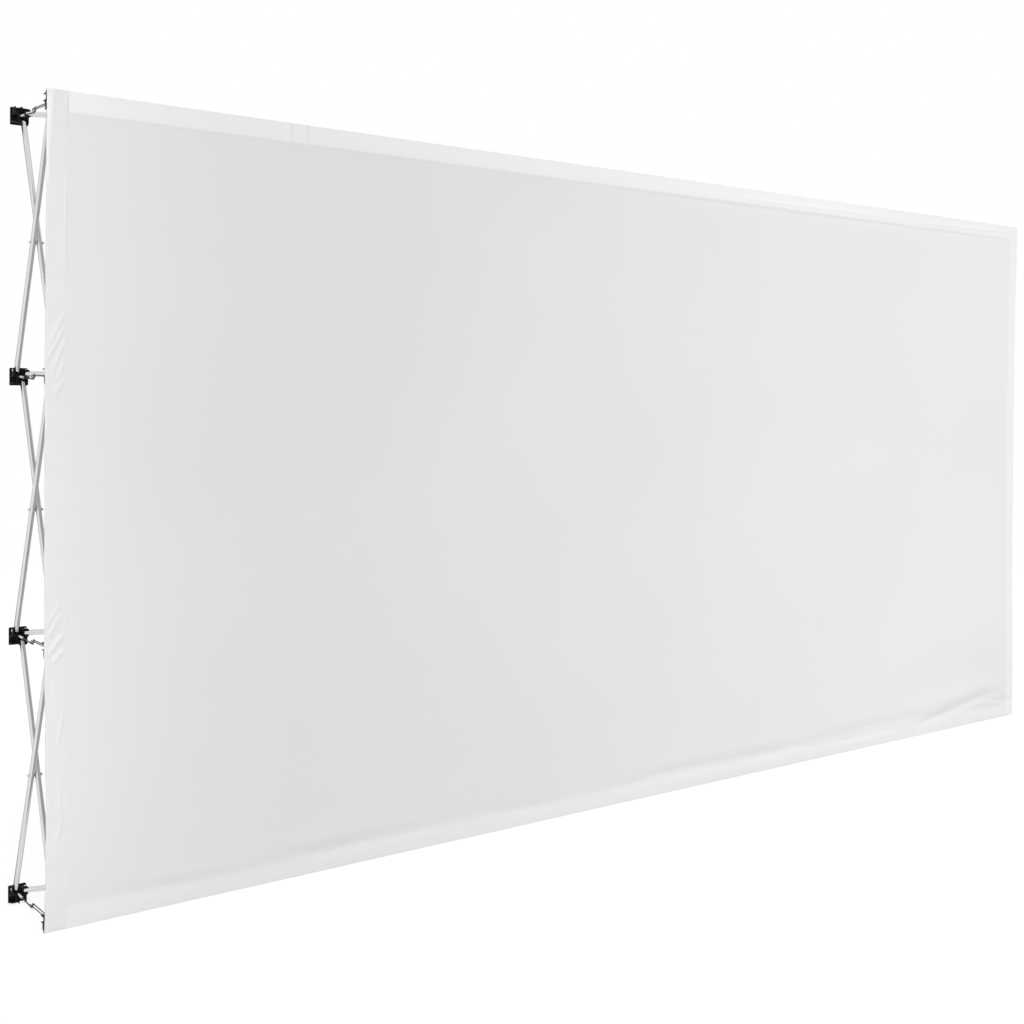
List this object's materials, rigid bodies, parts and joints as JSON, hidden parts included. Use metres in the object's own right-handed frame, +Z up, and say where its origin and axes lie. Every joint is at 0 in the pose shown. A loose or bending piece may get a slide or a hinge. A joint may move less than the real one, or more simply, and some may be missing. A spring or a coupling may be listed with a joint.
{
  "type": "banner wall",
  "caption": "Free-standing pop-up banner wall: a scissor lattice of aluminium tubes between plastic hubs, locked by wire hooks, with a plain stretched fabric banner on its front.",
  "frame": {"origin": "On the floor, under the middle of the part's bounding box.", "axes": "+X runs along the wall to the right as seen from the front, +Y to the rear, +Z up. The banner faces -Y."},
  "size_m": [4.5, 0.2988, 2.275],
  "materials": {
    "tube_aluminium": "satin anodised tube",
    "hub_plastic": "black moulded nylon",
    "pin_steel": "plated steel",
    "lock_wire": "drawn steel wire",
    "ferrule_metal": "turned and bright",
    "banner_cloth": "plain white knitted polyester",
    "loop_tape": "white loop tape",
    "hook_pad": "black hook tape"
  },
  "bodies": {
    "frame": {"front_hubs_level_1": "hub_plastic", "rear_hubs_level_1": "hub_plastic", "front_hubs_level_2": "hub_plastic", "rear_hubs_level_2": "hub_plastic", "front_hubs_level_3": "hub_plastic", "rear_hubs_level_3": "hub_plastic", "front_hubs_level_4": "hub_plastic", "rear_hubs_level_4": "hub_plastic", "rearward_tubes_level_1": "tube_aluminium", "rearward_tubes_level_2": "tube_aluminium", "rearward_tubes_level_3": "tube_aluminium", "rearward_tubes_level_4": "tube_aluminium", "rearward_tubes_column_1": "tube_aluminium", "rearward_tubes_column_2": "tube_aluminium", "rearward_tubes_column_3": "tube_aluminium", "rearward_tubes_column_4": "tube_aluminium", "rearward_tubes_column_5": "tube_aluminium", "rearward_tubes_column_6": "tube_aluminium", "rearward_tubes_column_7": "tube_aluminium", "forward_tubes_level_1": "tube_aluminium", "forward_tubes_level_2": "tube_aluminium", "forward_tubes_level_3": "tube_aluminium", "forward_tubes_level_4": "tube_aluminium", "forward_tubes_column_1": "tube_aluminium", "forward_tubes_column_2": "tube_aluminium", "forward_tubes_column_3": "tube_aluminium", "forward_tubes_column_4": "tube_aluminium", "forward_tubes_column_5": "tube_aluminium", "forward_tubes_column_6": "tube_aluminium", "forward_tubes_column_7": "tube_aluminium", "level_scissor_rivets": "pin_steel", "column_scissor_rivets": "pin_steel", "front_level_tube_pins": "pin_steel", "rear_level_tube_pins": "pin_steel", "front_column_tube_pins": "pin_steel", "rear_column_tube_pins": "pin_steel", "rear_lock_pins": "pin_steel", "hook_pads": "hook_pad"},
    "lock_rods_1": {"lock_rods_level_1": "lock_wire", "lock_ferrules_level_1": "ferrule_metal"},
    "lock_bails_1": {"lock_bails_level_1": "lock_wire"},
    "lock_rods_2": {"lock_rods_level_2": "lock_wire", "lock_ferrules_level_2": "ferrule_metal"},
    "lock_bails_2": {"lock_bails_level_2": "lock_wire"},
    "lock_rods_3": {"lock_rods_level_3": "lock_wire", "lock_ferrules_level_3": "ferrule_metal"},
    "lock_bails_3": {"lock_bails_level_3": "lock_wire"},
    "lock_rods_4": {"lock_rods_level_4": "lock_wire", "lock_ferrules_level_4": "ferrule_metal"},
    "lock_bails_4": {"lock_bails_level_4": "lock_wire"},
    "banner": {"banner_fabric": "banner_cloth", "loop_tape_top": "loop_tape", "loop_tape_bottom": "loop_tape", "loop_tape_left": "loop_tape", "loop_tape_right": "loop_tape"}
  },
  "joints": [
    {"name": "lock_rods_1_swing", "type": "hinge", "parent": "frame", "child": "lock_rods_1", "pos_m": [0, 0.1344, 0.025], "axis": [1, 0, 0], "range_deg": [0, 5]},
    {"name": "lock_bails_1_swing", "type": "hinge", "parent": "frame", "child": "lock_bails_1", "pos_m": [0, -0.1306, 0.025], "axis": [1, 0, 0], "range_deg": [0, 50]},
    {"name": "lock_rods_2_swing", "type": "hinge", "parent": "frame", "child": "lock_rods_2", "pos_m": [0, 0.1344, 0.765], "axis": [1, 0, 0], "range_deg": [0, 50]},
    {"name": "lock_bails_2_swing", "type": "hinge", "parent": "frame", "child": "lock_bails_2", "pos_m": [0, -0.1306, 0.765], "axis": [1, 0, 0], "range_deg": [0, 50]},
    {"name": "lock_rods_3_swing", "type": "hinge", "parent": "frame", "child": "lock_rods_3", "pos_m": [0, 0.1344, 1.505], "axis": [1, 0, 0], "range_deg": [0, 50]},
    {"name": "lock_bails_3_swing", "type": "hinge", "parent": "frame", "child": "lock_bails_3", "pos_m": [0, -0.1306, 1.505], "axis": [1, 0, 0], "range_deg": [0, 50]},
    {"name": "lock_rods_4_swing", "type": "hinge", "parent": "frame", "child": "lock_rods_4", "pos_m": [0, 0.1344, 2.245], "axis": [1, 0, 0], "range_deg": [0, 50]},
    {"name": "lock_bails_4_swing", "type": "hinge", "parent": "frame", "child": "lock_bails_4", "pos_m": [0, -0.1306, 2.245], "axis": [1, 0, 0], "range_deg": [0, 50]},
    {"name": "banner_off", "type": "slide", "parent": "frame", "child": "banner", "axis": [0, -1, 0], "range_m": [0, 0.4]}
  ]
}
